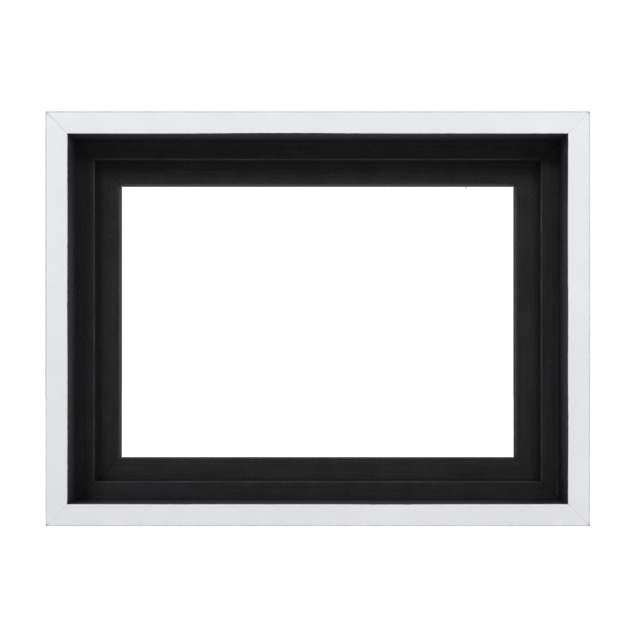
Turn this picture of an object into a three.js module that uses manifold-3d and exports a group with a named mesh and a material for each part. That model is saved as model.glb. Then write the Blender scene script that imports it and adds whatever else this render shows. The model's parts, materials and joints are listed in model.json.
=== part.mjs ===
// Floating frame for a 7 x 5 inch stretched canvas, 19 mm deep. All sizes are in millimetres.
//
// The frame stands upright and faces -Y: X runs along its long side, Z is up, and the origin is in
// the middle of its footprint. Each side is one length of stepped wooden moulding. The canvas rests
// on the lower ledge, and the upper ledge is the dark floor of the gap that it seems to float in.
// Each corner is a glued mitre, held by two V-nails pressed in from behind. Two D-ring hangers are
// screwed to the backs of the side rails, and two bumpers keep the bottom edge off the wall.

import * as THREE from "three";
import { mergeVertices } from "three/addons/utils/BufferGeometryUtils.js";
import Module from "manifold-3d";

const INCH = 25.4;

// The canvas, and the section of the rails around it
const CANVAS_WIDTH = 7 * INCH;
const CANVAS_HEIGHT = 5 * INCH;
const CANVAS_PLAY = 1.8; // between the canvas and the step, on each side
const FACE_WIDTH = 8.8; // front face
const STEP_WIDTH = 7.2; // upper ledge
const LEDGE_WIDTH = 8.8; // lower ledge, which the canvas rests on
const LIP_DEPTH = 16; // front face to upper ledge
const STEP_DROP = 6.4; // upper ledge to lower ledge
const LEDGE_THICKNESS = 7.6; // lower ledge to back
const FACE_ARRIS = 0.6; // rounding of the front face's edges
const LEDGE_ARRIS = 0.5; // rounding of the other outside edges
const MITRE_SETBACK = 0.1; // each rail is this much short at each mitre

const RAIL_WIDTH = FACE_WIDTH + STEP_WIDTH + LEDGE_WIDTH;
const SEAT_DEPTH = LIP_DEPTH + STEP_DROP;
const FRAME_DEPTH = SEAT_DEPTH + LEDGE_THICKNESS;
const FRAME_MARGIN = CANVAS_PLAY + STEP_WIDTH + FACE_WIDTH;
const FRAME_WIDTH = CANVAS_WIDTH + 2 * FRAME_MARGIN;
const FRAME_HEIGHT = CANVAS_HEIGHT + 2 * FRAME_MARGIN;

// V-nails: inset is from both outer edges to the point of the V, which faces the sight edge
const NAIL_LEG = 4.4;
const NAIL_THICKNESS = 0.6;
const NAIL_SUNK = 0.3; // below the back of the rail
const NAIL_CLEARANCE = 0.1;
const V_NAILS = {
  outer: { inset: 9.2, height: 10 },
  inner: { inset: 20.2, height: 5 },
};

// Self-adhesive bumpers near the bottom corners
const BUMPER_RADIUS = 5;
const BUMPER_HEIGHT = 3;
const BUMPER_INSET = 32; // from the side of the frame

// Left between the back of the rails and what is fixed to it
const SEAT_GAP = 0.1;

// D-ring hangers: a strap folded double around the ring's bar, one screw through both leaves
const STRAP_WIDTH = 9;
const STRAP_THICKNESS = 0.8;
const STRAP_FOLD_GAP = 0.1; // between the two leaves
const STRAP_REACH = 19.5; // ring's axis to the strap's round end
const STRAP_HOLE = 15; // ring's axis to the screw
const STRAP_HOLE_RADIUS = 1.95;
const WIRE_RADIUS = 1;
const WIRE_CLEARANCE = 0.15;
const RING_HALF_WIDTH = 6.5; // to the middle of the wire
const RING_HEIGHT = 9.5; // axis of the bar to the middle of the wire at the arch
const RING_CORNER = 2.2;
const RING_REST_TILT = THREE.MathUtils.degToRad(7); // it lies back against the strap
const HANGER_INSET = FACE_WIDTH + STEP_WIDTH / 2; // from the side of the frame
const HANGER_HEIGHT = FRAME_HEIGHT * 0.66;

const LOOP_INNER = WIRE_RADIUS + WIRE_CLEARANCE;
const LOOP_OUTER = LOOP_INNER + STRAP_THICKNESS;
const STRAP_STACK = 2 * STRAP_THICKNESS + STRAP_FOLD_GAP;

// Pan-head wood screw
const SCREW_HEAD_RADIUS = 3.4;
const SCREW_HEAD_HEIGHT = 2.3;
const SCREW_RADIUS = 1.75;
const SCREW_LENGTH = 12.7;
const SCREW_TIP = 3;
const SCREW_RECESS_DEPTH = 1.3;
const SCREW_RECESS_SPAN = 3.6;
const SCREW_RECESS_SLOT = 0.8;
const PILOT_CLEARANCE = 0.1;

const HARDWARE_DEPTH = SEAT_GAP + LOOP_OUTER + RING_HEIGHT * Math.sin(RING_REST_TILT) + WIRE_RADIUS;
const FRONT_Y = -(FRAME_DEPTH + HARDWARE_DEPTH) / 2;
const BACK_Y = FRONT_Y + FRAME_DEPTH;

const whiteLacquer = new THREE.MeshStandardMaterial({ color: 0xe3e4e8, roughness: 0.45 });
const blackRubber = new THREE.MeshStandardMaterial({ color: 0x232323, roughness: 0.8 });
const nailSteel = new THREE.MeshStandardMaterial({ color: 0x8d9094, roughness: 0.45, metalness: 1 });
const platedSteel = new THREE.MeshStandardMaterial({ color: 0xc4c6c9, roughness: 0.3, metalness: 1 });

const wasm = await Module();
wasm.setup();

// --- Solids and geometries ---

function toSolid(geometry) {
  const bare = geometry.clone();
  bare.deleteAttribute("normal");
  bare.deleteAttribute("uv");
  const merged = mergeVertices(bare, 1e-4);
  const mesh = new wasm.Mesh({
    numProp: 3,
    vertProperties: merged.attributes.position.array,
    triVerts: new Uint32Array(merged.index.array),
  });
  return new wasm.Manifold(mesh);
}

function toGeometry(solid) {
  const mesh = solid.getMesh();
  const indexed = new THREE.BufferGeometry();
  indexed.setAttribute("position", new THREE.BufferAttribute(mesh.vertProperties, 3));
  indexed.setIndex(new THREE.BufferAttribute(mesh.triVerts, 1));
  const geometry = indexed.toNonIndexed();
  geometry.computeVertexNormals();
  return geometry;
}

function cut(geometry, tools) {
  return toGeometry(tools.reduce((solid, tool) => solid.subtract(toSolid(tool)), toSolid(geometry)));
}

// A closed outline through corners [x, y, radius], each rounded where its radius isn't 0.
function roundedOutline(corners) {
  const points = corners.map(([x, y]) => new THREE.Vector2(x, y));
  const shape = new THREE.Shape();
  points.forEach((corner, i) => {
    const radius = corners[i][2];
    const before = points.at(i - 1);
    const after = points[(i + 1) % points.length];
    const start = before.clone().sub(corner).setLength(radius).add(corner);
    const end = after.clone().sub(corner).setLength(radius).add(corner);
    if (i === 0) shape.moveTo(start.x, start.y);
    else shape.lineTo(start.x, start.y);
    if (radius > 0) shape.quadraticCurveTo(corner.x, corner.y, end.x, end.y);
  });
  shape.closePath();
  return shape;
}

// A shape drawn in (Y, Z) and extruded along X, centred on X = 0.
function extrudeAlongX(shape, length, curveSegments = 4) {
  const geometry = new THREE.ExtrudeGeometry(shape, { depth: length, bevelEnabled: false, curveSegments });
  const position = geometry.attributes.position;
  for (let i = 0; i < position.count; i += 1) {
    const [y, z, x] = [position.getX(i), position.getY(i), position.getZ(i)];
    position.setXYZ(i, x - length / 2, y, z);
  }
  geometry.computeVertexNormals();
  return geometry;
}

// A shape drawn in (X, Z) and extruded along Y, from fromY to toY.
function extrudeAlongY(shape, fromY, toY, curveSegments = 12) {
  const depth = toY - fromY;
  const geometry = new THREE.ExtrudeGeometry(shape, { depth, bevelEnabled: false, curveSegments });
  return geometry.rotateX(Math.PI / 2).translate(0, toY, 0);
}

// --- Rails ---
// A rail is built as the bottom one: X along it, Y from the front face back, Z from the outer edge in.

// A section drawn in (Y, Z), with both ends cut at 45 degrees so that the outer edge is the longest.
function mitredBar(section, outerLength) {
  const geometry = extrudeAlongX(section, 1);
  const position = geometry.attributes.position;
  for (let i = 0; i < position.count; i += 1) {
    const halfLength = outerLength / 2 - position.getZ(i) - MITRE_SETBACK;
    position.setX(i, Math.sign(position.getX(i)) * halfLength);
  }
  geometry.computeVertexNormals();
  return geometry;
}

function railSection() {
  const step = FACE_WIDTH + STEP_WIDTH;
  return roundedOutline([
    [0, 0, FACE_ARRIS],
    [FRAME_DEPTH, 0, LEDGE_ARRIS],
    [FRAME_DEPTH, RAIL_WIDTH, LEDGE_ARRIS],
    [SEAT_DEPTH, RAIL_WIDTH, LEDGE_ARRIS],
    [SEAT_DEPTH, step, 0],
    [LIP_DEPTH, step, LEDGE_ARRIS],
    [LIP_DEPTH, FACE_WIDTH, 0],
    [0, FACE_WIDTH, FACE_ARRIS],
  ]);
}

// --- V-nails ---

// The V in (X, Z), measured from the frame's outer corner, with room around it for a slot.
function vNailOutline(inset, room) {
  const out = inset + NAIL_THICKNESS / 2 + room;
  const inside = inset - NAIL_THICKNESS / 2 - room;
  const end = inset - NAIL_LEG - room;
  return new THREE.Shape([
    new THREE.Vector2(out, out),
    new THREE.Vector2(end, out),
    new THREE.Vector2(end, inside),
    new THREE.Vector2(inside, inside),
    new THREE.Vector2(inside, end),
    new THREE.Vector2(out, end),
  ]);
}

// Its Y is measured from the front face, as a rail's is.
function vNail({ inset, height }) {
  const back = FRAME_DEPTH - NAIL_SUNK;
  return extrudeAlongY(vNailOutline(inset, 0), back - height, back);
}

// Slots for both V-nails of one rail's left corner, open at the back.
function vNailSlots() {
  return Object.values(V_NAILS).map(({ inset, height }) => {
    const bottom = FRAME_DEPTH - NAIL_SUNK - height - NAIL_CLEARANCE;
    return extrudeAlongY(vNailOutline(inset, NAIL_CLEARANCE), bottom, FRAME_DEPTH + 1);
  });
}

// The same slots at both ends of a rail. The V is symmetrical about the mitre, so the right-hand
// corner's slot is the left-hand one turned by a quarter about Y.
function railSlots(outerLength) {
  const atLeft = vNailSlots().map((slot) => slot.translate(-outerLength / 2, 0, 0));
  const atRight = vNailSlots().map((slot) => slot.rotateY(-Math.PI / 2).translate(outerLength / 2, 0, 0));
  return [...atLeft, ...atRight];
}

// --- Hangers ---
// Built about the ring's axis: X along it, Y = 0 on the back of the rail, Z up.

function strapProfile() {
  const top = STRAP_STACK; // outside of the upper leaf
  const slit = STRAP_THICKNESS + STRAP_FOLD_GAP; // inside of the upper leaf
  const outerAngle = Math.acos((top - LOOP_OUTER) / LOOP_OUTER);
  const innerAngle = Math.acos((slit - LOOP_OUTER) / LOOP_INNER);
  const shape = new THREE.Shape();
  shape.moveTo(0, -STRAP_REACH);
  shape.lineTo(0, 0);
  shape.absarc(LOOP_OUTER, 0, LOOP_OUTER, Math.PI, -outerAngle, true);
  shape.lineTo(top, -STRAP_REACH);
  shape.lineTo(slit, -STRAP_REACH);
  shape.absarc(LOOP_OUTER, 0, LOOP_INNER, -innerAngle, Math.PI, false);
  shape.lineTo(STRAP_THICKNESS, -STRAP_REACH);
  shape.closePath();
  return shape;
}

function strap() {
  const half = STRAP_WIDTH / 2;
  const plan = new THREE.Shape();
  plan.moveTo(half, 2 * LOOP_OUTER);
  plan.lineTo(-half, 2 * LOOP_OUTER);
  plan.absarc(0, half - STRAP_REACH, half, Math.PI, 2 * Math.PI, false);
  plan.closePath();
  const folded = toSolid(extrudeAlongX(strapProfile(), STRAP_WIDTH + 1, 16));
  const outlined = folded.intersect(toSolid(extrudeAlongY(plan, -1, 3 * LOOP_OUTER)));
  const hole = new THREE.CylinderGeometry(STRAP_HOLE_RADIUS, STRAP_HOLE_RADIUS, 6, 20);
  return toGeometry(outlined.subtract(toSolid(hole.translate(0, 0, -STRAP_HOLE))));
}

// The ring hangs down from the origin in the XZ plane.
function ringPath() {
  const side = RING_HALF_WIDTH;
  const shoulder = side - RING_CORNER;
  const archCentre = side - RING_HEIGHT;
  const outline = new THREE.Path();
  outline.moveTo(-shoulder, 0);
  outline.lineTo(shoulder, 0);
  outline.absarc(shoulder, -RING_CORNER, RING_CORNER, Math.PI / 2, 0, true);
  outline.absarc(0, archCentre, side, 0, -Math.PI, true);
  outline.absarc(-shoulder, -RING_CORNER, RING_CORNER, Math.PI, Math.PI / 2, true);
  const points = outline.getSpacedPoints(64).slice(0, -1);
  return new THREE.CatmullRomCurve3(points.map((p) => new THREE.Vector3(p.x, 0, p.y)), true);
}

function dRing() {
  return new THREE.TubeGeometry(ringPath(), 64, WIRE_RADIUS, 10, true);
}

// The screw lies along Y with the underside of its head at Y = 0 and its point at -Y.
function screw() {
  const crown = SCREW_HEAD_HEIGHT * 0.45; // height of the head's straight side
  const profile = [
    [0, -SCREW_LENGTH],
    [SCREW_RADIUS, -SCREW_LENGTH + SCREW_TIP],
    [SCREW_RADIUS, 0],
    [SCREW_HEAD_RADIUS, 0],
    [SCREW_HEAD_RADIUS, crown],
    [SCREW_HEAD_RADIUS * 0.9, SCREW_HEAD_HEIGHT * 0.75],
    [SCREW_HEAD_RADIUS * 0.65, SCREW_HEAD_HEIGHT * 0.93],
    [0, SCREW_HEAD_HEIGHT],
  ].map(([radius, y]) => new THREE.Vector2(radius, y));
  const body = new THREE.LatheGeometry(profile, 24);
  const slotTop = SCREW_HEAD_HEIGHT - SCREW_RECESS_DEPTH / 2 + 0.5;
  const slot = () => new THREE.BoxGeometry(SCREW_RECESS_SPAN, SCREW_RECESS_DEPTH + 1, SCREW_RECESS_SLOT);
  const across = slot().translate(0, slotTop, 0);
  const along = slot().rotateY(Math.PI / 2).translate(0, slotTop, 0);
  return cut(body, [across, along]);
}

// The pilot hole of a side rail's hanger, in that rail's own frame.
function pilotHole(alongRail) {
  const radius = SCREW_RADIUS + PILOT_CLEARANCE;
  const depth = SCREW_LENGTH - STRAP_STACK - SEAT_GAP + PILOT_CLEARANCE;
  const drill = new THREE.CylinderGeometry(radius, radius, depth + 1, 20);
  return drill.translate(alongRail, FRAME_DEPTH - depth / 2 + 0.5, HANGER_INSET);
}

// --- Bumpers ---

// Its flat side is at Y = 0 and its dome faces +Y.
function bumper() {
  const profile = new THREE.Path();
  profile.moveTo(0, 0);
  profile.lineTo(BUMPER_RADIUS, 0);
  profile.lineTo(BUMPER_RADIUS * 0.95, BUMPER_HEIGHT * 0.5);
  profile.quadraticCurveTo(BUMPER_RADIUS * 0.85, BUMPER_HEIGHT, 0, BUMPER_HEIGHT);
  return new THREE.LatheGeometry(profile.getPoints(6), 32);
}

// --- Assembly ---

const frame = new THREE.Group();

function add(parent, name, geometry, material) {
  const mesh = new THREE.Mesh(geometry, material);
  mesh.name = name;
  parent.add(mesh);
  return mesh;
}

function place(x, z, turnY) {
  const group = new THREE.Group();
  group.position.set(x, FRONT_Y, z);
  group.rotation.y = turnY;
  frame.add(group);
  return group;
}

const SIDES = {
  bottom: { length: FRAME_WIDTH, x: 0, z: 0, turn: 0 },
  right: { length: FRAME_HEIGHT, x: FRAME_WIDTH / 2, z: FRAME_HEIGHT / 2, turn: -Math.PI / 2 },
  top: { length: FRAME_WIDTH, x: 0, z: FRAME_HEIGHT, turn: Math.PI },
  left: { length: FRAME_HEIGHT, x: -FRAME_WIDTH / 2, z: FRAME_HEIGHT / 2, turn: Math.PI / 2 },
};

// Where a side rail's screw is, along that rail from its middle.
const SCREW_OFFSET = HANGER_HEIGHT - STRAP_HOLE - FRAME_HEIGHT / 2;
const PILOTS = { left: [pilotHole(-SCREW_OFFSET)], right: [pilotHole(SCREW_OFFSET)] };

for (const [side, { length, x, z, turn }] of Object.entries(SIDES)) {
  const holes = [...railSlots(length), ...(PILOTS[side] ?? [])];
  const rail = cut(mitredBar(railSection(), length), holes);
  add(place(x, z, turn), `rail_${side}`, rail, whiteLacquer);
}

// Each corner's own frame has the outer corner at its origin, with the V-nails up and to the right.
const CORNERS = {
  bottom_left: { x: -FRAME_WIDTH / 2, z: 0, turn: 0 },
  bottom_right: { x: FRAME_WIDTH / 2, z: 0, turn: -Math.PI / 2 },
  top_right: { x: FRAME_WIDTH / 2, z: FRAME_HEIGHT, turn: Math.PI },
  top_left: { x: -FRAME_WIDTH / 2, z: FRAME_HEIGHT, turn: Math.PI / 2 },
};

for (const [corner, { x, z, turn }] of Object.entries(CORNERS)) {
  const group = place(x, z, turn);
  for (const [row, size] of Object.entries(V_NAILS)) {
    add(group, `v_nail_${row}_${corner}`, vNail(size), nailSteel);
  }
}

for (const [side, direction] of [["left", -1], ["right", 1]]) {
  const hanger = new THREE.Group();
  hanger.position.set(direction * (FRAME_WIDTH / 2 - HANGER_INSET), BACK_Y + SEAT_GAP, HANGER_HEIGHT);
  frame.add(hanger);
  add(hanger, `hanger_strap_${side}`, strap(), platedSteel);
  const ring = add(hanger, `d_ring_${side}`, dRing(), platedSteel);
  ring.position.y = LOOP_OUTER;
  ring.rotation.x = RING_REST_TILT;
  const fixing = add(hanger, `hanger_screw_${side}`, screw(), platedSteel);
  fixing.position.set(0, STRAP_STACK + SEAT_GAP, -STRAP_HOLE);

  const pad = add(frame, `bumper_${side}`, bumper(), blackRubber);
  pad.position.set(direction * (FRAME_WIDTH / 2 - BUMPER_INSET), BACK_Y + SEAT_GAP, RAIL_WIDTH / 2);
}

export default frame;
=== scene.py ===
"""The looks of the floating frame: lacquered and painted rails, plated hangers, rubber bumpers.

Everything is in metres, in the frame's own axes: it faces -Y, X runs along its long side, Z is up.
"""

import json
import math
import random

import bmesh
import bpy
from mathutils import Matrix, Vector


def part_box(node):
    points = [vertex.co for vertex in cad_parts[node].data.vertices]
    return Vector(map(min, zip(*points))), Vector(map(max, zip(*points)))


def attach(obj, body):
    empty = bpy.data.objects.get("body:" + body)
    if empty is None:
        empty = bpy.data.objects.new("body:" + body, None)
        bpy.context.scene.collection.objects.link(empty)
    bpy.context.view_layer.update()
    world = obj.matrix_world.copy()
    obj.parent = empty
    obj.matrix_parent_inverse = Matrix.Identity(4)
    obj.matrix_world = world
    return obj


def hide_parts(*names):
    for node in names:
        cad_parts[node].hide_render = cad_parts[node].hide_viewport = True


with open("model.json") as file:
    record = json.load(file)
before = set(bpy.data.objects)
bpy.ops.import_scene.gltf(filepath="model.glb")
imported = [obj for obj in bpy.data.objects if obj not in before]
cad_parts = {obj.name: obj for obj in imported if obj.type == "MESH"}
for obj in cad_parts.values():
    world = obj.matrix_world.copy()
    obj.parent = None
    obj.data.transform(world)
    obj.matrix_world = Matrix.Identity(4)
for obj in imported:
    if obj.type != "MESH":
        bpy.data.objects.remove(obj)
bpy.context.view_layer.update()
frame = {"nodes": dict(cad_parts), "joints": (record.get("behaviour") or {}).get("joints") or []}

MM = 0.001

# --- Sizes ---

# The rails' section: depth goes from the front face back, and width from the outer edge inwards
FACE_WIDTH = 8.8 * MM
STEP_WIDTH = 7.2 * MM
LIP_DEPTH = 16 * MM
STEP_DROP = 6.4 * MM
MITRE_SETBACK = 0.1 * MM  # how far a rail stops short of the corner in the CAD model
RAIL_LOW, RAIL_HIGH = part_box("rail_bottom")
RAIL_WIDTH = RAIL_HIGH.z - RAIL_LOW.z
FRAME_DEPTH = RAIL_HIGH.y - RAIL_LOW.y
FRONT_Y, BACK_Y = RAIL_LOW.y, RAIL_HIGH.y

LEFT_X, RIGHT_X = RAIL_LOW.x - MITRE_SETBACK, RAIL_HIGH.x + MITRE_SETBACK
BOTTOM_Z, TOP_Z = RAIL_LOW.z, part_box("rail_top")[1].z
CENTRE_Z = (BOTTOM_Z + TOP_Z) / 2
FRAME_WIDTH, FRAME_HEIGHT = RIGHT_X - LEFT_X, TOP_Z - BOTTOM_Z

# The visible joint at each mitre
MITRE_GAP = 0.03 * MM
MITRE_EASE = 0.14 * MM  # the worn edge along the joint


# --- Camera ---

CAMERA_DISTANCE = 418 * MM  # in front of the face
CAMERA_LEFT, CAMERA_DOWN = 0.6 * MM, 18 * MM  # from the middle of the frame


def add_camera():
    data = bpy.data.cameras.new("camera")
    data.lens = 60.5
    data.sensor_width = 36
    data.shift_x = 0.0028
    data.shift_y = 0.0737
    data.clip_start = 0.01
    camera = bpy.data.objects.new("camera", data)
    camera.location = (-CAMERA_LEFT, FRONT_Y - CAMERA_DISTANCE, CENTRE_Z - CAMERA_DOWN)
    camera.rotation_euler = (math.radians(90), 0, 0)
    bpy.context.scene.collection.objects.link(camera)
    bpy.context.scene.camera = camera


add_camera()


# --- Writing materials ---

def srgb(r, g, b):
    """A colour given as 0-255 screen values, in linear light."""
    def linear(c):
        c /= 255
        return c / 12.92 if c <= 0.04045 else ((c + 0.055) / 1.055) ** 2.4
    return (linear(r), linear(g), linear(b), 1)


class Nodes:
    """Short ways to write the nodes of a material or a world.

    A value may be a number, a colour or a socket.
    """

    def __init__(self, owner, shader="Principled BSDF"):
        self.owner = owner
        self.owner.use_nodes = True
        self.tree = owner.node_tree
        self.shader = self.tree.nodes[shader]

    def fill(self, socket, value):
        if isinstance(value, bpy.types.NodeSocket):
            self.tree.links.new(value, socket)
        else:
            socket.default_value = value

    def add(self, kind, **inputs):
        made = self.tree.nodes.new("ShaderNode" + kind)
        for name, value in inputs.items():
            self.fill(made.inputs[name.replace("_", " ")], value)
        return made

    def place(self):
        return self.add("TexCoord").outputs["Object"]

    def attribute(self, name, output="Vector"):
        made = self.add("Attribute")
        made.attribute_name = name
        return made.outputs[output]

    def stretch(self, vector, x, y, z):
        return self.add("Mapping", Vector=vector, Scale=(x, y, z)).outputs["Vector"]

    def noise(self, vector, scale, detail=2.0, roughness=0.5):
        made = self.add("TexNoise", Vector=vector, Scale=scale, Detail=detail, Roughness=roughness)
        return made.outputs["Fac"]

    def math(self, operation, a, b=0.0):
        made = self.add("Math")
        made.operation = operation
        self.fill(made.inputs[0], a)
        self.fill(made.inputs[1], b)
        return made.outputs[0]

    def remap(self, value, low, high, to_low=0.0, to_high=1.0):
        """to_low at low and to_high at high, in a straight line between them and level beyond."""
        limits = {"From_Min": low, "From_Max": high, "To_Min": to_low, "To_Max": to_high}
        return self.add("MapRange", Value=value, **limits).outputs["Result"]

    def mix(self, factor, a, b, kind="RGBA"):
        made = self.add("Mix")
        made.data_type = kind
        factor_in, a_in, b_in = [s for s in made.inputs if s.enabled]
        self.fill(factor_in, factor)
        self.fill(a_in, a)
        self.fill(b_in, b)
        return next(s for s in made.outputs if s.enabled)

    def product(self, a, b):
        return self.math("MULTIPLY", a, b)

    def total(self, first, *others):
        for other in others:
            first = self.math("ADD", first, other)
        return first

    def bump(self, height, distance):
        """Raises the surface by height times distance, in metres."""
        made = self.add("Bump", Height=height, Distance=distance, Strength=1.0)
        self.fill(self.shader.inputs["Normal"], made.outputs["Normal"])

    def finish(self, **inputs):
        for name, value in inputs.items():
            self.fill(self.shader.inputs[name.replace("_", " ")], value)
        return self.owner


def material_nodes(name):
    return Nodes(bpy.data.materials.new(name))


# --- The rails' section ---

# (depth, width, radius of the corner), from the outer back corner round by the front face
SECTION = [
    (FRAME_DEPTH, 0, 0.5 * MM),
    (0, 0, 0.6 * MM),
    (0, FACE_WIDTH, 0.35 * MM),
    (LIP_DEPTH, FACE_WIDTH, 0.25 * MM),
    (LIP_DEPTH, FACE_WIDTH + STEP_WIDTH, 0.35 * MM),
    (LIP_DEPTH + STEP_DROP, FACE_WIDTH + STEP_WIDTH, 0.2 * MM),
    (LIP_DEPTH + STEP_DROP, RAIL_WIDTH, 0.35 * MM),
    (FRAME_DEPTH, RAIL_WIDTH, 0.5 * MM),
]
# Their numbers in that list
OUTER_ARRIS, LIP_ARRIS, LEDGE_ARRIS, SIGHT_ARRIS, SIGHT_BACK_ARRIS = 1, 2, 4, 6, 7
LIP_FOOT, LEDGE_FOOT = 3, 5
ARC_STEPS = 6


def section_points():
    """[(point, outward normal)] round the section, with an arc at each corner."""
    points = []
    for i, (depth, width, radius) in enumerate(SECTION):
        corner = Vector((depth, width))
        back = (Vector(SECTION[i - 1][:2]) - corner).normalized()
        ahead = (Vector(SECTION[(i + 1) % len(SECTION)][:2]) - corner).normalized()
        centre = corner + (back + ahead) * radius
        turn = 1 if back.cross(ahead) > 0 else -1  # -1 where the corner is an inside one
        for k in range(ARC_STEPS + 1):
            angle = k / ARC_STEPS * math.pi / 2
            spoke = -ahead * math.cos(angle) - back * math.sin(angle)
            points.append((centre + spoke * radius, spoke * turn))
    return points


def distances(points):
    """How far each point is from the first one, round the section, and the whole way round."""
    found = [0.0]
    for (a, _), (b, _) in zip(points, points[1:]):
        found.append(found[-1] + (b - a).length)
    return found, found[-1] + (points[0][0] - points[-1][0]).length


POINTS = section_points()
AROUND, ALL_ROUND = distances(POINTS)


def corner_at(number):
    """How far round the section the middle of a corner is."""
    return AROUND[number * (ARC_STEPS + 1) + ARC_STEPS // 2]


LIP_AT, SIGHT_BACK_AT = corner_at(LIP_ARRIS), corner_at(SIGHT_BACK_ARRIS)
MID_BACK_AT = (SIGHT_BACK_AT + ALL_ROUND) / 2


# --- Materials ---

LACQUER, LACQUER_PALE = srgb(231, 232, 236), srgb(235, 236, 239)
# The first of these is painted shade for the outer arris; the second is a plain darker grey for the
# tips of the mitres
ARRIS_PAINTED_SHADE, MITRE_TIP_GREY = srgb(196, 197, 201), srgb(184, 183, 182)
BLACK, BLACK_PALE = srgb(3, 3, 6), srgb(23, 23, 28)
# Of the next three colours, the first is painted light near the lip, the second a painted highlight
# for the arrises and the third painted shade for the feet of the walls
LIP_PAINTED_LIGHT, ARRIS_PAINTED_HIGHLIGHT, WALL_FOOT_PAINTED_SHADE = srgb(61, 61, 66), srgb(60, 60, 64), srgb(1, 1, 2)
WOOD, WOOD_PALE = srgb(188, 152, 108), srgb(226, 201, 163)
WOOD_RING, WOOD_PORE = srgb(166, 126, 84), srgb(136, 102, 66)


def near_corner(n, around, number, reach):
    """1 on a corner of the section, falling to 0 at this distance round from it."""
    away = n.math("ABSOLUTE", n.math("SUBTRACT", around, corner_at(number)))
    return n.remap(away, 0.25 * reach, reach, 1.0, 0.0)


def white_lacquer(n, grain, around):
    """(colour, roughness, height in metres) of the satin lacquer.

    It is painted greyer in patches on the outer arris, as shade there, and is a little darker at
    the tips of the mitres.
    """
    mottle = n.remap(n.noise(grain, 60, 3), 0.3, 0.7)
    peel = n.noise(grain, 1100, 2)
    colour = n.mix(mottle, LACQUER, LACQUER_PALE)
    patchy = n.remap(n.noise(grain, 380, 3, 0.6), 0.3, 0.7, 0.45, 1.0)
    # Painted shade: the outer arris made greyer, in patches
    thin = n.product(near_corner(n, around, OUTER_ARRIS, 0.75 * MM), patchy)
    colour = n.mix(thin, colour, ARRIS_PAINTED_SHADE)
    # A little darker near the outer arris at the tips of the mitres
    by_mitre = n.remap(n.attribute("from_mitre", "Fac"), 0.1 * MM, 0.9 * MM, 1.0, 0.0)
    tone_mask = n.product(near_corner(n, around, OUTER_ARRIS, 1.3 * MM), by_mitre)
    colour = n.mix(tone_mask, colour, MITRE_TIP_GREY)
    return colour, n.remap(peel, 0.3, 0.7, 0.42, 0.52), n.product(peel, 0.004 * MM)


def black_paint(n, grain, around):
    """(colour, roughness, height in metres) of the satin paint, brushed along the rail.

    It has painted light near the lip, a painted highlight on the arrises, which are also glossier
    there, and painted shade at the feet of the walls.
    """
    mottle = n.noise(grain, 750, 4, 0.65)
    brushed = n.noise(n.stretch(grain, 0.015, 1, 1), 1300, 3, 0.7)
    patches = n.noise(grain, 120, 2)
    blend = n.remap(n.total(mottle, n.product(brushed, 2.0), patches), 1.7, 2.3)
    colour = n.mix(blend, BLACK, BLACK_PALE)

    # Painted light: lighter near the lip, fading deeper into the recess where shade falls, speckled
    lip_painted_light = n.remap(n.math("SUBTRACT", around, LIP_AT), 0.0, 0.8 * LIP_DEPTH, 1.0, 0.0)
    speckle = n.remap(n.noise(grain, 2400, 2), 0.35, 0.65, 0.6, 1.0)
    colour = n.mix(n.product(lip_painted_light, speckle), colour, LIP_PAINTED_LIGHT)

    # Painted highlight: lighter along the arrises, unevenly along the rail; the same mask also
    # makes them glossier
    corners = n.math(
        "MAXIMUM",
        near_corner(n, around, LEDGE_ARRIS, 0.42 * MM),
        n.product(near_corner(n, around, SIGHT_ARRIS, 0.3 * MM), 0.5),
    )
    along = n.stretch(grain, 1, 0, 0)
    uneven_highlight = n.remap(n.noise(along, 45, 3, 0.6), 0.38, 0.62, 0.15, 0.9)
    glossy_and_highlight = n.product(corners, uneven_highlight)
    colour = n.mix(glossy_and_highlight, colour, ARRIS_PAINTED_HIGHLIGHT)

    # Painted shade: a dark line in the inside corners at the feet of the walls
    feet = n.math(
        "MAXIMUM",
        near_corner(n, around, LIP_FOOT, 0.55 * MM),
        near_corner(n, around, LEDGE_FOOT, 0.75 * MM),
    )
    uneven = n.remap(n.noise(along, 90, 3, 0.6), 0.35, 0.6, 0.55, 1.0)
    colour = n.mix(n.product(feet, uneven), colour, WALL_FOOT_PAINTED_SHADE)

    roughness = n.remap(mottle, 0.3, 0.7, 0.62, 0.84)
    roughness = n.mix(glossy_and_highlight, roughness, 0.5, "FLOAT")
    height = n.total(n.product(mottle, 0.03 * MM), n.product(brushed, 0.06 * MM))
    return colour, roughness, height


def bare_wood(n, grain):
    """(colour, roughness, height in metres) of the planed back."""
    figure = n.noise(n.stretch(grain, 0.05, 1, 1), 300, 5, 0.62)
    rings = n.noise(n.stretch(grain, 0.02, 1, 1), 900, 3, 0.6)
    pores = n.noise(n.stretch(grain, 0.05, 1, 1), 2600, 2)
    colour = n.mix(n.remap(figure, 0.35, 0.65), WOOD, WOOD_PALE)
    colour = n.mix(n.remap(rings, 0.5, 0.72, 0.0, 0.55), colour, WOOD_RING)
    colour = n.mix(n.remap(pores, 0.56, 0.68, 0.0, 0.6), colour, WOOD_PORE)
    return colour, n.remap(figure, 0.3, 0.7, 0.62, 0.78), n.product(pores, -0.04 * MM)


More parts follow.
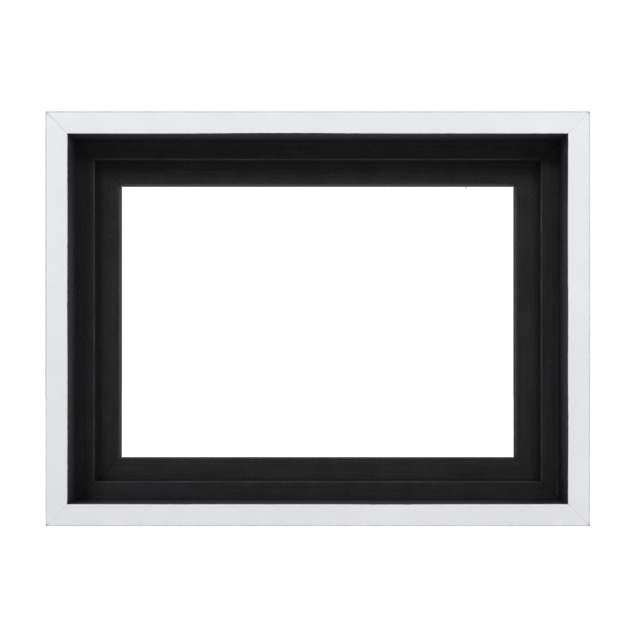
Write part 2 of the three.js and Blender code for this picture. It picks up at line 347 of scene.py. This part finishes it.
def rail_finish():
    """White lacquer outside, black paint in the recess, and bare wood behind ragged paint edges."""
    n = material_nodes("rail_finish")
    grain = n.attribute("grain")
    around = n.attribute("around", "Fac")
    along = n.stretch(grain, 1, 0, 0)

    bow = n.remap(n.noise(along, 14, 1), 0.3, 0.7, -0.2 * MM, 0.4 * MM)
    wobble = n.remap(n.noise(along, 300, 2), 0.3, 0.7, -0.08 * MM, 0.08 * MM)
    line = n.total(bow, wobble, LIP_AT)
    past_line = n.math("SUBTRACT", around, line)
    in_recess = n.remap(past_line, -0.03 * MM, 0.03 * MM)
    before_mid_back = n.remap(around, MID_BACK_AT, MID_BACK_AT + 0.1 * MM, 1.0, 0.0)
    black = n.product(in_recess, before_mid_back)

    ragged = n.remap(n.noise(grain, 160, 5, 0.7), 0.3, 0.7, -0.4 * MM, 0.8 * MM)
    past_black = n.math("SUBTRACT", n.math("SUBTRACT", around, ragged), SIGHT_BACK_AT)
    past_white = n.math("SUBTRACT", n.math("SUBTRACT", ALL_ROUND, ragged), around)
    bare = n.product(
        n.remap(past_black, 0.1 * MM, 1.1 * MM),
        n.remap(past_white, 0.1 * MM, 1.1 * MM),
    )

    finishes = white_lacquer(n, grain, around), black_paint(n, grain, around), bare_wood(n, grain)
    colour, roughness, height = [
        n.mix(bare, n.mix(black, white_part, black_part, kind), bare_part, kind)
        for kind, white_part, black_part, bare_part in zip(("RGBA", "FLOAT", "FLOAT"), *finishes)
    ]
    n.bump(height, 1.0)
    return n.finish(Base_Color=colour, Roughness=roughness, Specular_IOR_Level=0.4)


def raw_wood():
    """Fresh cuts: the slots, the pilot holes and the chipped tips."""
    n = material_nodes("raw_wood")
    colour, roughness, height = bare_wood(n, n.place())
    n.bump(height, 1.0)
    return n.finish(Base_Color=colour, Roughness=roughness)


def dust():
    """Specks of dust and fibre caught in the paint."""
    n = material_nodes("caught_dust")
    cloud = n.noise(n.place(), 1800, 3)
    colour = n.mix(n.remap(cloud, 0.35, 0.65), srgb(44, 44, 47), srgb(96, 95, 95))
    n.bump(cloud, 0.02 * MM)
    return n.finish(Base_Color=colour, Roughness=n.remap(cloud, 0.3, 0.7, 0.5, 0.8))


def zinc_plate():
    """The plated straps, rings and screws."""
    n = material_nodes("zinc_plate")
    place = n.place()
    cloud = n.noise(place, 420, 4, 0.6)
    rolled = n.noise(n.stretch(place, 1, 1, 0.06), 5200, 2)
    colour = n.mix(n.remap(cloud, 0.3, 0.7), srgb(186, 189, 194), srgb(212, 212, 208))
    n.bump(n.total(cloud, rolled), 0.003 * MM)
    sheen = n.remap(rolled, 0.3, 0.7, 0.24, 0.4)
    return n.finish(Base_Color=colour, Metallic=1.0, Roughness=sheen)


def nail_steel():
    """The dull V-nails."""
    n = material_nodes("nail_steel")
    cloud = n.noise(n.place(), 900, 4, 0.6)
    colour = n.mix(n.remap(cloud, 0.3, 0.7), srgb(120, 123, 128), srgb(158, 158, 158))
    n.bump(cloud, 0.01 * MM)
    sheen = n.remap(cloud, 0.3, 0.7, 0.35, 0.55)
    return n.finish(Base_Color=colour, Metallic=1.0, Roughness=sheen)


def bumper_rubber():
    """Matt black rubber, a little dusty."""
    n = material_nodes("bumper_rubber")
    place = n.place()
    tone_mask = n.noise(place, 300, 4, 0.6)
    pits = n.noise(place, 4200, 2)
    n.bump(pits, 0.02 * MM)
    colour = n.mix(n.remap(tone_mask, 0.35, 0.7), srgb(36, 36, 37), srgb(52, 51, 50))
    return n.finish(Base_Color=colour, Roughness=n.remap(tone_mask, 0.3, 0.7, 0.55, 0.75))


RAIL_FINISH, RAW_WOOD, DUST = rail_finish(), raw_wood(), dust()
ZINC, NAIL_STEEL, RUBBER = zinc_plate(), nail_steel(), bumper_rubber()


# --- Building pieces ---

SAME_PLACE = 1e-7  # vertices closer than this are one


def new_object(mesh, material):
    """An object with the mesh's own name."""
    mesh.materials.append(material)
    piece = bpy.data.objects.new(mesh.name, mesh)
    bpy.context.scene.collection.objects.link(piece)
    return piece


def mesh_from(name, vertices, faces, smooth=True):
    """A closed mesh with its faces pointing out."""
    mesh = bpy.data.meshes.new(name)
    mesh.from_pydata([tuple(v) for v in vertices], [], faces)
    turned = bmesh.new()
    turned.from_mesh(mesh)
    bmesh.ops.remove_doubles(turned, verts=turned.verts, dist=SAME_PLACE)
    bmesh.ops.recalc_face_normals(turned, faces=turned.faces)
    turned.to_mesh(mesh)
    turned.free()
    mesh.polygons.foreach_set("use_smooth", [smooth] * len(mesh.polygons))
    return mesh


def apply_modifiers(piece):
    graph = bpy.context.evaluated_depsgraph_get()
    done = bpy.data.meshes.new_from_object(piece.evaluated_get(graph))
    done.name = piece.data.name
    piece.modifiers.clear()
    piece.data = done


def cut(piece, cutters):
    """Takes the cutters out of the piece, and deletes them."""
    for cutter in cutters:
        step = piece.modifiers.new("cut", "BOOLEAN")
        step.operation = "DIFFERENCE"
        step.solver = "EXACT"
        step.material_mode = "TRANSFER"
        step.object = cutter
    apply_modifiers(piece)
    for cutter in cutters:
        bpy.data.objects.remove(cutter)


def keep_flats_flat(piece):
    """Shades the flat faces as flat, and only the rounded edges between them as round."""
    piece.modifiers.new("flats", "WEIGHTED_NORMAL").keep_sharp = True


def ease_edges(piece, width):
    """Rounds the sharp edges a little."""
    bevel = piece.modifiers.new("ease", "BEVEL")
    bevel.width = width
    bevel.segments = 2
    bevel.limit_method = "ANGLE"
    bevel.angle_limit = math.radians(40)
    keep_flats_flat(piece)


def box_of(node):
    """The low corner, the middle and the high corner of a CAD node's box."""
    low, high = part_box(node)
    return low, (low + high) / 2, high


def tube_faces(rings, sides, first=0):
    """Faces that join rings of points, numbered one ring after another from the first."""
    faces = []
    for ring in range(rings - 1):
        low, high = first + ring * sides, first + (ring + 1) * sides
        for k in range(sides):
            ahead = (k + 1) % sides
            faces.append((low + k, low + ahead, high + ahead, high + k))
    return faces


def capped_tube_faces(rings, sides):
    """The same, with a face over each end."""
    last = (rings - 1) * sides
    return tube_faces(rings, sides) + [
        tuple(range(sides))[::-1],
        tuple(range(last, last + sides)),
    ]


def stand_for(piece, node, body):
    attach(piece, body)
    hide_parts(node)


def lathe(profile, segments):
    """Vertices and faces of a profile of (radius, y) turned about Y.

    It starts and ends on the axis, and those two ends are the first two vertices.
    """
    rings = profile[1:-1]
    vertices = [Vector((0, profile[0][1], 0)), Vector((0, profile[-1][1], 0))]
    for radius, y in rings:
        for k in range(segments):
            angle = 2 * math.pi * k / segments
            vertices.append(Vector((radius * math.cos(angle), y, radius * math.sin(angle))))
    faces = tube_faces(len(rings), segments, first=2)
    last = 2 + (len(rings) - 1) * segments
    for k in range(segments):
        ahead = (k + 1) % segments
        faces.append((0, 2 + ahead, 2 + k))
        faces.append((1, last + k, last + ahead))
    return vertices, faces


def prism_along_y(start, stop):
    """Vertices and faces between two ends, each an outline of (x, z) and its y."""
    vertices = [Vector((x, y, z)) for outline, y in (start, stop) for x, z in outline]
    return vertices, capped_tube_faces(2, len(start[0]))


# --- Rails ---

# side: (length along the outer edge, middle of the outer edge in X and Z, turn about Y)
RAILS = {
    "bottom": (FRAME_WIDTH, (0, BOTTOM_Z), 0),
    "right": (FRAME_HEIGHT, (RIGHT_X, CENTRE_Z), -90),
    "top": (FRAME_WIDTH, (0, TOP_Z), 180),
    "left": (FRAME_HEIGHT, (LEFT_X, CENTRE_Z), 90),
}
STATIONS = 64
WOOD_BETWEEN_RAILS = 0.37  # so that no two rails have the same grain


def place_of_rail(side):
    """From a rail's own axes to its place in the frame."""
    _, (x, z), turn = RAILS[side]
    return Matrix.Translation((x, FRONT_Y, z)) @ Matrix.Rotation(math.radians(turn), 4, "Y")


def rail_mesh(name, length, grain_start):
    """A rail in its own axes: X along it, Y from the front back, Z from the outer edge in."""
    # Where each ring of points stands along the rail, as -1 to 1, and how far it is pulled in
    stations = [(2 * s / STATIONS - 1, 0) for s in range(STATIONS + 1)]
    stations = [(-1, MITRE_EASE)] + stations + [(1, MITRE_EASE)]
    vertices = []
    for place, pulled_in in stations:
        for point, normal in POINTS:
            depth, width = point - normal * pulled_in
            back_off = MITRE_GAP / 2 + (0 if pulled_in else MITRE_EASE)
            half = length / 2 - width - back_off * math.sqrt(2)
            vertices.append((place * half, depth, width))
    faces = capped_tube_faces(len(stations), len(POINTS))

    mesh = bpy.data.meshes.new(name)
    mesh.from_pydata(vertices, [], faces)
    mesh.polygons.foreach_set("use_smooth", [True] * (len(faces) - 2) + [False] * 2)
    add_attributes(mesh, length, grain_start)
    return mesh


def add_attributes(mesh, length, grain_start):
    """What the rails' material reads at each corner of each face.

    grain: the place in the rail's own wood. around: the distance round its section.
    from_mitre: the distance along the rail from the nearer mitre.
    """
    n = len(POINTS)
    grain, around, from_mitre = [], [], []
    for polygon in mesh.polygons:
        corners = [mesh.loops[k].vertex_index for k in polygon.loop_indices]
        places = [k % n for k in corners]
        closing = len(corners) == 4 and {0, n - 1} <= set(places)
        for corner, place in zip(corners, places):
            around.append(ALL_ROUND if closing and place == 0 else AROUND[place])
            point = mesh.vertices[corner].co
            grain.extend(point + Vector((grain_start, 0, 0)))
            from_mitre.append(length / 2 - point.z - abs(point.x))
    mesh.attributes.new("grain", "FLOAT_VECTOR", "CORNER").data.foreach_set("vector", grain)
    for name, values in (("around", around), ("from_mitre", from_mitre)):
        mesh.attributes.new(name, "FLOAT", "CORNER").data.foreach_set("value", values)


def add_rail(side, number):
    length = RAILS[side][0]
    mesh = rail_mesh(f"rail_{side}_finished", length, grain_start=WOOD_BETWEEN_RAILS * number)
    mesh.transform(place_of_rail(side))
    return new_object(mesh, RAIL_FINISH)


# Slots for the V-nails, the screws' holes and the chipped tips
NAIL_THICKNESS, NAIL_CLEARANCE = 0.6 * MM, 0.08 * MM
V_NAILS = [name for name in frame["nodes"] if name.startswith("v_nail")]
PILOT_RADIUS, STRAP_HOLE_RADIUS = 1.85 * MM, 1.95 * MM
PAST_SCREW_TIP, PAST_BACK = 0.1 * MM, 6 * MM  # how far a drilled hole goes beyond each
CHIP_SIZE = 0.45 * MM
CHIP_CORNERS = [(-2, -2, -2), (1.1, -0.9, -0.8), (-0.7, 0.9, -0.9), (-0.8, -0.8, 1.2)]


def nail_slot(node):
    """A V with a little room round the nail, open at the back."""
    low, middle, high = box_of(node)
    right, up = 1 if middle.x > 0 else -1, 1 if middle.z > CENTRE_Z else -1
    point = Vector((low.x if right > 0 else high.x, low.z if up > 0 else high.z))
    room = NAIL_CLEARANCE
    near, far, inner = -room, high.x - low.x + room, NAIL_THICKNESS + room
    outline = [(near, near), (far, near), (far, inner), (inner, inner), (inner, far), (near, far)]
    outline = [(point.x + right * a, point.y + up * b) for a, b in outline]
    prism = prism_along_y((outline, low.y - room), (outline, BACK_Y + 1 * MM))
    return new_object(mesh_from(f"slot_{node}", *prism, smooth=False), RAW_WOOD)


def drill(node, radius, material):
    """A round hole on a screw's axis, from just past its point out through the back."""
    low, middle, _ = box_of(node)
    start, stop = low.y - PAST_SCREW_TIP, BACK_Y + PAST_BACK
    profile = [(0, start), (radius, start), (radius, stop), (0, stop)]
    mesh = mesh_from(f"drill_{node}", *lathe(profile, 32), smooth=False)
    mesh.transform(Matrix.Translation((middle.x, 0, middle.z)))
    return new_object(mesh, material)


def chip(side, end):
    """A tiny splinter out of the front tip of a mitre, at one end of a rail: -1 or 1."""
    vertices = [Vector(corner) * CHIP_SIZE for corner in CHIP_CORNERS]
    faces = [(0, 1, 2), (0, 2, 3), (0, 3, 1), (1, 3, 2)]
    mesh = mesh_from(f"chip_{side}", vertices, faces, smooth=False)
    mirror = Matrix.Scale(-end, 4, (1, 0, 0))
    mesh.transform(Matrix.Translation((end * RAILS[side][0] / 2, 0, 0)) @ mirror)
    if end > 0:  # the mirror has turned it inside out
        mesh.flip_normals()
    mesh.transform(place_of_rail(side))
    return new_object(mesh, RAW_WOOD)


for number, side in enumerate(RAILS):
    rail = add_rail(side, number)
    cutters = [nail_slot(node) for node in V_NAILS if side in node]
    if side in ("left", "right"):
        cutters.append(drill(f"hanger_screw_{side}", PILOT_RADIUS, RAW_WOOD))
    cut(rail, cutters + [chip(side, -1), chip(side, 1)])
    keep_flats_flat(rail)
    stand_for(rail, f"rail_{side}", "frame")

for node in V_NAILS:
    nail = frame["nodes"][node]
    nail.data.materials.clear()
    nail.data.materials.append(NAIL_STEEL)


# --- Specks in the paint ---

# (depth, how far in from the outer edge it starts, width)
UPPER_LEDGE = (LIP_DEPTH, FACE_WIDTH, STEP_WIDTH)
LOWER_LEDGE_START = FACE_WIDTH + STEP_WIDTH
LOWER_LEDGE = (LIP_DEPTH + STEP_DROP, LOWER_LEDGE_START, RAIL_WIDTH - LOWER_LEDGE_START)

SPECKS_PER_LEDGE, SPECKS_PER_FOOT = 6, 4
BURR_PLACE = Vector((62 * MM, BACK_Y - 0.9 * MM, TOP_Z - RAIL_WIDTH + 0.1 * MM))
BURR_LENGTH, BURR_RADIUS = 1.3 * MM, 0.2 * MM
BEADS, FIRST_BEAD, BEAD_SPACING = 7, 1.4 * MM, 1.0 * MM


def speck(rng, centre, radius):
    """A small uneven lump, half sunk in the paint."""
    lump = bmesh.new()
    bmesh.ops.create_icosphere(lump, subdivisions=2, radius=radius)
    for vertex in lump.verts:
        vertex.co *= rng.uniform(0.75, 1.15)
        vertex.co.y *= 0.6
    bmesh.ops.translate(lump, verts=lump.verts, vec=centre)
    mesh = bpy.data.meshes.new("speck")
    lump.to_mesh(mesh)
    lump.free()
    return mesh


def fibre(start, length, radius):
    """A splinter that hangs from an arris and bends a little."""
    bend = 0.2 * length
    steps, sides = 6, 6
    vertices = []
    for k in range(steps + 1):
        t = k / steps
        thin = radius * (1 - 0.75 * t)
        centre = start + Vector((bend * t * t, 0, -length * t))
        for a in range(sides):
            angle = 2 * math.pi * a / sides
            spoke = Vector((math.cos(angle), math.sin(angle), 0))
            vertices.append(centre + spoke * thin)
    return mesh_from("fibre", vertices, capped_tube_faces(steps + 1, sides))


def add_specks():
    rng = random.Random(7)
    whole = bmesh.new()

    def keep(mesh):
        whole.from_mesh(mesh)
        bpy.data.meshes.remove(mesh)

    for side, (length, _, _) in RAILS.items():
        to_rail = place_of_rail(side)
        for depth, start, width in (UPPER_LEDGE, LOWER_LEDGE):
            reach = length / 2 - start - width
            for _ in range(SPECKS_PER_LEDGE):
                along = rng.uniform(-reach, reach)
                across = start + rng.uniform(0.1, 0.9) * width
                place = to_rail @ Vector((along, depth, across))
                keep(speck(rng, place, rng.uniform(0.08, 0.2) * MM))
        # Dust gathers at the foot of the wall near the corners
        for _ in range(SPECKS_PER_FOOT):
            along = rng.choice((-1, 1)) * (length / 2 - FACE_WIDTH - rng.uniform(1, 9) * MM)
            across = FACE_WIDTH + rng.uniform(0.3, 1.2) * MM
            place = to_rail @ Vector((along, LIP_DEPTH, across))
            keep(speck(rng, place, rng.uniform(0.12, 0.24) * MM))

    keep(fibre(BURR_PLACE, BURR_LENGTH, BURR_RADIUS))
    # A string of beads of paint up the foot of the wall, from the lower right corner
    for k in range(BEADS):
        place = Vector((
            RIGHT_X - FACE_WIDTH - rng.uniform(0.4, 0.7) * MM,
            FRONT_Y + LIP_DEPTH,
            BOTTOM_Z + FACE_WIDTH + FIRST_BEAD + BEAD_SPACING * k,
        ))
        keep(speck(rng, place, rng.uniform(0.18, 0.28) * MM))

    mesh = bpy.data.meshes.new("specks_in_paint")
    whole.to_mesh(mesh)
    whole.free()
    mesh.polygons.foreach_set("use_smooth", [True] * len(mesh.polygons))
    specks = new_object(mesh, DUST)
    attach(specks, "frame")


add_specks()


# --- Hangers ---
# Sizes as in the CAD model. Strap and ring are built about the ring's axis: X along it, Y towards
# the wall, Z up.

STRAP_WIDTH = 9 * MM
STRAP_THICKNESS = 0.8 * MM
STRAP_FOLD_GAP = 0.1 * MM
STRAP_REACH = 19.5 * MM  # from the ring's axis down to the rounded end
WIRE_RADIUS = 1 * MM
WIRE_CLEARANCE = 0.15 * MM
RING_HALF_WIDTH = 6.5 * MM
RING_HEIGHT = 9.5 * MM
RING_CORNER = 2.2 * MM
RING_REST_TILT = math.radians(7)
LOOP_MIDDLE = WIRE_RADIUS + WIRE_CLEARANCE + STRAP_THICKNESS / 2  # radius of the fold
LEAF_STATIONS, FOLD_STATIONS = 24, 40


def strap_centreline():
    """Points (y, z) along the middle of the strip, from the lower leaf's end to the upper's.

    Along each leaf they stand closer together towards its round end.
    """
    lower = -LOOP_MIDDLE
    upper = lower + STRAP_THICKNESS + STRAP_FOLD_GAP
    quarters = [k / LEAF_STATIONS * math.pi / 2 for k in range(LEAF_STATIONS + 1)]
    points = [(lower, -STRAP_REACH * math.cos(angle)) for angle in quarters[:-1]]
    start, stop = math.pi, -math.acos(upper / LOOP_MIDDLE)
    for k in range(FOLD_STATIONS + 1):
        angle = start + (stop - start) * k / FOLD_STATIONS
        points.append((LOOP_MIDDLE * math.cos(angle), LOOP_MIDDLE * math.sin(angle)))
    fold_foot = points[-1][1]
    reach = fold_foot + STRAP_REACH
    return points + [(upper, fold_foot - reach * math.sin(angle)) for angle in quarters[1:]]


def strap_mesh(name):
    """A flat strip swept along the centreline, with half-round ends."""
    line = strap_centreline()
    half = STRAP_THICKNESS / 2
    end = STRAP_WIDTH / 2
    narrowest = 0.2 * MM
    vertices = []
    for i, (y, z) in enumerate(line):
        before, after = line[max(i - 1, 0)], line[min(i + 1, len(line) - 1)]
        run = Vector((after[0] - before[0], after[1] - before[1])).normalized()
        side = Vector((-run.y, run.x)) * half
        from_end = min(z + STRAP_REACH, end)
        wide = math.sqrt(max(end**2 - (end - from_end) ** 2, narrowest**2))
        for sign_x, sign_n in ((-1, -1), (1, -1), (1, 1), (-1, 1)):
            vertices.append((sign_x * wide, y + sign_n * side.x, z + sign_n * side.y))
    return mesh_from(name, vertices, capped_tube_faces(len(line), 4))


def ring_outline():
    """(x, z) points round the middle of the wire, with its straight bar at the top."""
    shoulder = RING_HALF_WIDTH - RING_CORNER
    arch = RING_HALF_WIDTH - RING_HEIGHT  # z of the middle of the round part
    bar_steps = 16
    points = [(shoulder * (2 * k / bar_steps - 1), 0) for k in range(bar_steps)]

    def arc(x, z, radius, start, stop, steps):
        for k in range(steps):
            angle = math.radians(start + (stop - start) * k / steps)
            points.append((x + radius * math.cos(angle), z + radius * math.sin(angle)))

    arc(shoulder, -RING_CORNER, RING_CORNER, 90, 0, 12)
    points.append((RING_HALF_WIDTH, (arch - RING_CORNER) / 2))
    arc(0, arch, RING_HALF_WIDTH, 0, -180, 60)
    points.append((-RING_HALF_WIDTH, (arch - RING_CORNER) / 2))
    arc(-shoulder, -RING_CORNER, RING_CORNER, 180, 90, 12)
    return points


def ring_mesh(name):
    """Round wire bent along the outline and closed on itself."""
    outline = [Vector((x, 0, z)) for x, z in ring_outline()]
    sides = 24
    across = Vector((0, 1, 0))
    vertices = []
    for i, point in enumerate(outline):
        run = (outline[(i + 1) % len(outline)] - outline[i - 1]).normalized()
        out = run.cross(across)
        for k in range(sides):
            angle = 2 * math.pi * k / sides
            spoke = across * math.sin(angle) + out * math.cos(angle)
            vertices.append(point + spoke * WIRE_RADIUS)
    open_faces = tube_faces(len(outline) + 1, sides)
    faces = [tuple(corner % len(vertices) for corner in face) for face in open_faces]
    return mesh_from(name, vertices, faces)


SCREW_HEAD_RADIUS = 3.4 * MM
SCREW_HEAD_HEIGHT = 2.3 * MM
SCREW_RADIUS = 1.75 * MM
SCREW_LENGTH = 12.7 * MM
SCREW_TIP = 3 * MM
RECESS_DEPTH, RECESS_REACH, RECESS_SLOT = 1.4 * MM, 1.8 * MM, 0.4 * MM
RECESS_TURN = 20  # degrees


def screw_profile():
    """(radius, y) from the point to the crown, with the underside of the head at y = 0."""
    rim = 0.2 * MM
    edge = SCREW_HEAD_HEIGHT * 0.45
    profile = [(0, -SCREW_LENGTH), (SCREW_RADIUS, -SCREW_LENGTH + SCREW_TIP), (SCREW_RADIUS, 0)]
    profile += [(SCREW_HEAD_RADIUS - rim, 0), (SCREW_HEAD_RADIUS, rim), (SCREW_HEAD_RADIUS, edge)]
    steps = 10
    for k in range(1, steps):
        angle = k / steps * math.pi / 2
        height = edge + (SCREW_HEAD_HEIGHT - edge) * math.sin(angle)
        profile.append((SCREW_HEAD_RADIUS * math.cos(angle) ** 0.6, height))
    return profile + [(0, SCREW_HEAD_HEIGHT)]


def cross_cutter(centre):
    """A cross, narrower at its bottom, that cuts the driver's recess through the crown."""
    def cross(longer, wider):
        a, b = RECESS_REACH * longer, RECESS_SLOT * wider
        quarter = [Vector((a, -b)), Vector((a, b)), Vector((b, b))]
        turns = [Matrix.Rotation(math.radians(90 * k + RECESS_TURN), 2) for k in range(4)]
        return [turn @ point for turn in turns for point in quarter]

    bottom = (cross(0.55, 0.9), SCREW_HEAD_HEIGHT - RECESS_DEPTH)
    top = (cross(1.15, 1.05), SCREW_HEAD_HEIGHT + 0.5 * MM)
    mesh = mesh_from("recess", *prism_along_y(bottom, top), smooth=False)
    mesh.transform(Matrix.Translation(centre))
    return new_object(mesh, ZINC)


for joint in frame["joints"]:
    side = joint["child"].removeprefix("ring_")
    at_axis = Matrix.Translation(joint["pos_m"])

    strap = new_object(strap_mesh(f"strap_{side}_folded"), ZINC)
    strap.data.transform(at_axis)
    cut(strap, [drill(f"hanger_screw_{side}", STRAP_HOLE_RADIUS, ZINC)])
    ease_edges(strap, width=0.12 * MM)
    stand_for(strap, f"hanger_strap_{side}", "frame")

    ring = new_object(ring_mesh(f"ring_{side}_wire"), ZINC)
    ring.data.transform(at_axis @ Matrix.Rotation(RING_REST_TILT, 4, "X"))
    stand_for(ring, f"d_ring_{side}", joint["child"])

    _, middle, high = box_of(f"hanger_screw_{side}")
    seat = Vector((middle.x, high.y - SCREW_HEAD_HEIGHT, middle.z))
    screw = new_object(mesh_from(f"screw_{side}_turned", *lathe(screw_profile(), 48)), ZINC)
    screw.data.transform(Matrix.Translation(seat))
    cut(screw, [cross_cutter(seat)])
    ease_edges(screw, width=0.05 * MM)
    stand_for(screw, f"hanger_screw_{side}", "frame")


# --- Bumpers ---

def bumper_profile(radius, height):
    """(radius, y) of a dome on a short skirt, from the flat side out."""
    skirt = height * 0.3
    edge = 0.25 * MM
    dome = radius * 0.985
    profile = [(0, 0), (radius - edge, 0), (radius, edge), (dome, skirt)]
    steps = 14
    for k in range(1, steps):
        angle = k / steps * math.pi / 2
        up = skirt + (height - skirt) * math.sin(angle)
        profile.append((dome * math.cos(angle) ** 0.7, up))
    return profile + [(0, height)]


for side in ("left", "right"):
    low, middle, high = box_of(f"bumper_{side}")
    profile = bumper_profile(radius=middle.x - low.x, height=high.y - low.y)
    mesh = mesh_from(f"bumper_{side}_moulded", *lathe(profile, 64))
    mesh.transform(Matrix.Translation((middle.x, low.y, middle.z)))
    bumper = new_object(mesh, RUBBER)
    keep_flats_flat(bumper)
    stand_for(bumper, f"bumper_{side}", "frame")


# --- Studio ---

WHITE = (1, 1, 1, 1)
SURROUND = 0.07  # how bright the room around the frame is, where white is 1
BACKDROP = 1.05  # how bright the camera sees it
FLOOR_LIFT = 0.97  # how much the camera sees the floor lifted towards white
FLOOR_REACH = 3.0

# (name, azimuth, elevation, distance, width, height, power): azimuth 0 is in front of the frame
# and grows to the right, in degrees; sizes are in metres and power in watts
SOFTBOXES = [
    ("key", -29, 31, 2.4, 0.9, 0.5, 27),
    ("right", 26, 28, 1.6, 0.7, 0.4, 6),
    ("low_right", 75, 10, 1.3, 0.6, 0.6, 3),
    ("back", 180, 16, 1.6, 1.2, 1.0, 3),
    ("back_left", -128, 18, 1.6, 1.2, 1.0, 4.5),
    ("back_right", 128, 18, 1.6, 1.2, 1.0, 4.5),
    ("top", 165, 60, 1.7, 1.2, 1.0, 6),
]


def seen_by_camera(n, lit, seen):
    """seen for what the camera sees directly, and lit for the light that falls on the frame."""
    return n.remap(n.add("LightPath").outputs["Is Camera Ray"], 0, 1, lit, seen)


def add_world():
    n = Nodes(bpy.data.worlds.new("studio"), "Background")
    strength = seen_by_camera(n, SURROUND, BACKDROP)
    bpy.context.scene.world = n.finish(Color=WHITE, Strength=strength)


def add_softbox(name, azimuth, elevation, distance, width, height, power):
    """A soft light aimed at the frame's middle, which no camera sees."""
    azimuth, elevation = math.radians(azimuth), math.radians(elevation)
    flat = distance * math.cos(elevation)
    away = Vector((
        flat * math.sin(azimuth),
        -flat * math.cos(azimuth),
        distance * math.sin(elevation),
    ))
    data = bpy.data.lights.new(name, "AREA")
    data.shape = "RECTANGLE"
    data.size, data.size_y = width, height
    data.energy = power
    light = bpy.data.objects.new(name, data)
    light.location = Vector((0, FRONT_Y, CENTRE_Z)) + away
    light.rotation_euler = away.to_track_quat("Z", "Y").to_euler()
    light.visible_camera = False
    bpy.context.scene.collection.objects.link(light)


def add_floor():
    signs = ((-1, -1), (1, -1), (1, 1), (-1, 1))
    corners = [(x * FLOOR_REACH, y * FLOOR_REACH, BOTTOM_Z) for x, y in signs]
    mesh = bpy.data.meshes.new("floor")
    mesh.from_pydata(corners, [], [(0, 1, 2, 3)])
    n = material_nodes("pale_floor")
    lift = seen_by_camera(n, 0, FLOOR_LIFT)
    pale = n.finish(
        Base_Color=srgb(250, 250, 250),
        Roughness=0.9,
        Emission_Color=WHITE,
        Emission_Strength=lift,
    )
    new_object(mesh, pale)


add_world()
add_floor()
for row in SOFTBOXES:
    add_softbox(*row)
bpy.context.scene.view_settings.view_transform = "Standard"
